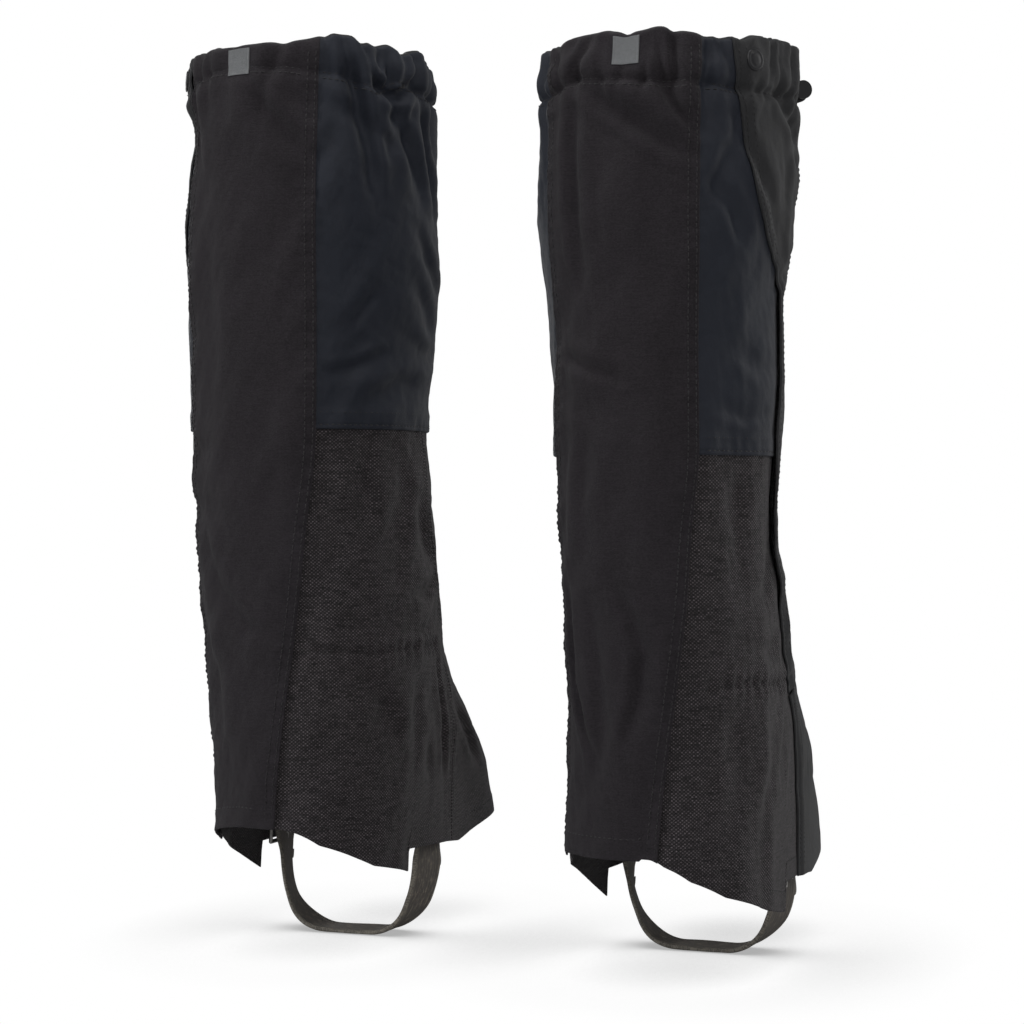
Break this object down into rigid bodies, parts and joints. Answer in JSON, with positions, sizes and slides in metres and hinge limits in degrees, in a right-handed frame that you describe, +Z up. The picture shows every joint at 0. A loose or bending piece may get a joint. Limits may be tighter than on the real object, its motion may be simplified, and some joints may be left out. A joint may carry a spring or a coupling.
{
  "type": "gaiters",
  "caption": "Full-length hiking gaiters with overlapping fabric panels, hook-and-loop front flaps, cord-locked top hems, lace hooks and buckled instep straps.",
  "frame": {"origin": "centre of the pair's bounding box in plan, on the ground plane the instep straps touch", "axes": "+Z up the leg, toes towards -Y, the wearer's left gaiter on +X"},
  "size_m": [0.3659, 0.2565, 0.516],
  "materials": {
    "back_weave": "plain black softshell weave",
    "navy_nylon": "smooth navy coated nylon",
    "coarse_nylon": "coarse charcoal woven nylon",
    "flap_nylon": "plain black coated nylon",
    "hook_loop": "hook and loop tape",
    "cord": "braided cord",
    "elastic": "flat elastic",
    "strap": "rubber-coated webbing, worn",
    "metal": "dull nickel",
    "black_metal": "black lacquered",
    "plastic": "moulded",
    "label": "woven plain label"
  },
  "bodies": {
    "left_shell": {"left_back_panel": "back_weave", "left_inner_lower_panel": "coarse_nylon", "left_outer_lower_panel": "coarse_nylon", "left_inner_toe_panel": "coarse_nylon", "left_inner_upper_panel": "navy_nylon", "left_outer_upper_panel": "navy_nylon", "left_underlap": "flap_nylon", "left_top_hem": "flap_nylon", "left_drawcord": "cord", "left_ankle_elastic": "elastic", "left_loop_strip": "hook_loop", "left_snap_stud": "metal", "left_lace_hook": "metal", "left_strap_patches": "strap", "left_rivets": "metal", "left_label": "label"},
    "left_flap": {"left_front_flap": "flap_nylon", "left_hook_strip": "hook_loop", "left_cord_loop": "cord"},
    "left_wing": {"left_flap_wing": "flap_nylon", "left_snap_cap": "black_metal"},
    "left_low_flap": {"left_lower_flap": "flap_nylon", "left_lower_hook_strip": "hook_loop"},
    "left_lock": {"left_cord_lock_barrel": "plastic", "left_cord_lock_spring": "metal"},
    "left_button": {"left_cord_lock_button": "plastic"},
    "left_strap": {"left_instep_strap": "strap", "left_buckle_frame": "metal", "left_buckle_tab": "strap"},
    "left_prong": {"left_buckle_prong": "metal"},
    "right_shell": {"right_back_panel": "back_weave", "right_inner_lower_panel": "coarse_nylon", "right_outer_lower_panel": "coarse_nylon", "right_inner_toe_panel": "coarse_nylon", "right_inner_upper_panel": "navy_nylon", "right_outer_upper_panel": "navy_nylon", "right_underlap": "flap_nylon", "right_top_hem": "flap_nylon", "right_drawcord": "cord", "right_ankle_elastic": "elastic", "right_loop_strip": "hook_loop", "right_snap_stud": "metal", "right_lace_hook": "metal", "right_strap_patches": "strap", "right_rivets": "metal", "right_label": "label"},
    "right_flap": {"right_front_flap": "flap_nylon", "right_hook_strip": "hook_loop", "right_cord_loop": "cord"},
    "right_wing": {"right_flap_wing": "flap_nylon", "right_snap_cap": "black_metal"},
    "right_low_flap": {"right_lower_flap": "flap_nylon", "right_lower_hook_strip": "hook_loop"},
    "right_lock": {"right_cord_lock_barrel": "plastic", "right_cord_lock_spring": "metal"},
    "right_button": {"right_cord_lock_button": "plastic"},
    "right_strap": {"right_instep_strap": "strap", "right_buckle_frame": "metal", "right_buckle_tab": "strap"},
    "right_prong": {"right_buckle_prong": "metal"}
  },
  "joints": [
    {"name": "left_flap_hinge", "type": "hinge", "parent": "left_shell", "child": "left_flap", "pos_m": [0.08575, -0.03532, 0.205], "axis": [-0.0125, -0.0508, -0.9986], "range_deg": [0, 105]},
    {"name": "left_wing_hinge", "type": "hinge", "parent": "left_flap", "child": "left_wing", "pos_m": [0.18332, 0.06258, 0.396], "axis": [0.0173, 0.0492, -0.9986], "range_deg": [0, 100]},
    {"name": "left_low_flap_hinge", "type": "hinge", "parent": "left_shell", "child": "left_low_flap", "pos_m": [0.07717, -0.12104, 0.076], "axis": [-0.0539, -0.5725, -0.8182], "range_deg": [0, 45]},
    {"name": "left_lock_slide", "type": "slide", "parent": "left_flap", "child": "left_lock", "axis": [0, 0, -1], "range_m": [0, 0.012]},
    {"name": "left_button_press", "type": "slide", "parent": "left_lock", "child": "left_button", "axis": [-0.6319, -0.775, 0], "range_m": [0, 0.0035], "stiffness_N_per_m": 150, "deforming": ["left_cord_lock_spring"]},
    {"name": "left_strap_swing", "type": "hinge", "parent": "left_shell", "child": "left_strap", "pos_m": [0.10052, 0.00498, 0.092], "axis": [1, 0, 0], "range_deg": [-20, 20]},
    {"name": "left_prong_hinge", "type": "hinge", "parent": "left_strap", "child": "left_prong", "pos_m": [0.14967, 0.00498, 0.076], "axis": [0, -1, 0], "range_deg": [0, 5]},
    {"name": "right_flap_hinge", "type": "hinge", "parent": "right_shell", "child": "right_flap", "pos_m": [-0.09529, -0.03501, 0.197], "axis": [0.009, 0.0498, 0.9987], "range_deg": [0, 105]},
    {"name": "right_wing_hinge", "type": "hinge", "parent": "right_flap", "child": "right_wing", "pos_m": [-0.18269, 0.05928, 0.388], "axis": [-0.0137, -0.0207, 0.9997], "range_deg": [0, 100]},
    {"name": "right_low_flap_hinge", "type": "hinge", "parent": "right_shell", "child": "right_low_flap", "pos_m": [-0.09213, -0.12104, 0.068], "axis": [-0.027, 0.5744, 0.8181], "range_deg": [0, 45]},
    {"name": "right_lock_slide", "type": "slide", "parent": "right_flap", "child": "right_lock", "axis": [0, 0, -1], "range_m": [0, 0.012]},
    {"name": "right_button_press", "type": "slide", "parent": "right_lock", "child": "right_button", "axis": [0.6316, -0.7753, 0], "range_m": [0, 0.0035], "stiffness_N_per_m": 150, "deforming": ["right_cord_lock_spring"]},
    {"name": "right_strap_swing", "type": "hinge", "parent": "right_shell", "child": "right_strap", "pos_m": [-0.11548, -0.01002, 0.084], "axis": [1, 0, 0], "range_deg": [-20, 20]},
    {"name": "right_prong_hinge", "type": "hinge", "parent": "right_strap", "child": "right_prong", "pos_m": [-0.16463, -0.01002, 0.068], "axis": [0, 1, 0], "range_deg": [0, 5]},
    {"name": "pair_slide", "type": "slide", "parent": "left_shell", "child": "right_shell", "axis": [-1, 0, 0], "range_m": [0, 0.15]}
  ]
}
